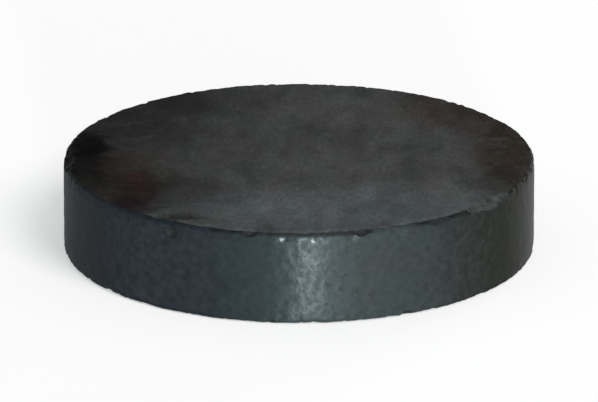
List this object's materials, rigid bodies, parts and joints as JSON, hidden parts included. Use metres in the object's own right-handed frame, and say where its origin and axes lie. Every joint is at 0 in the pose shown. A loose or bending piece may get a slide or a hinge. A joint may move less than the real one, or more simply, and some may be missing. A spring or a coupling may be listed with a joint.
{
  "type": "disc magnet",
  "caption": "Plain round disc magnet of dark sintered ferrite, with flat ground faces, a satin rim and small chips along its brittle edges.",
  "frame": {"origin": "centre of the lower face, which the disc rests on", "axes": "+Z along the disc's axis, up through the upper face; -Y is the front and +X the right"},
  "size_m": [0.025, 0.025, 0.005],
  "materials": {
    "ferrite": "satin"
  },
  "bodies": {
    "root": {"magnet_disc": "ferrite"}
  },
  "joints": []
}
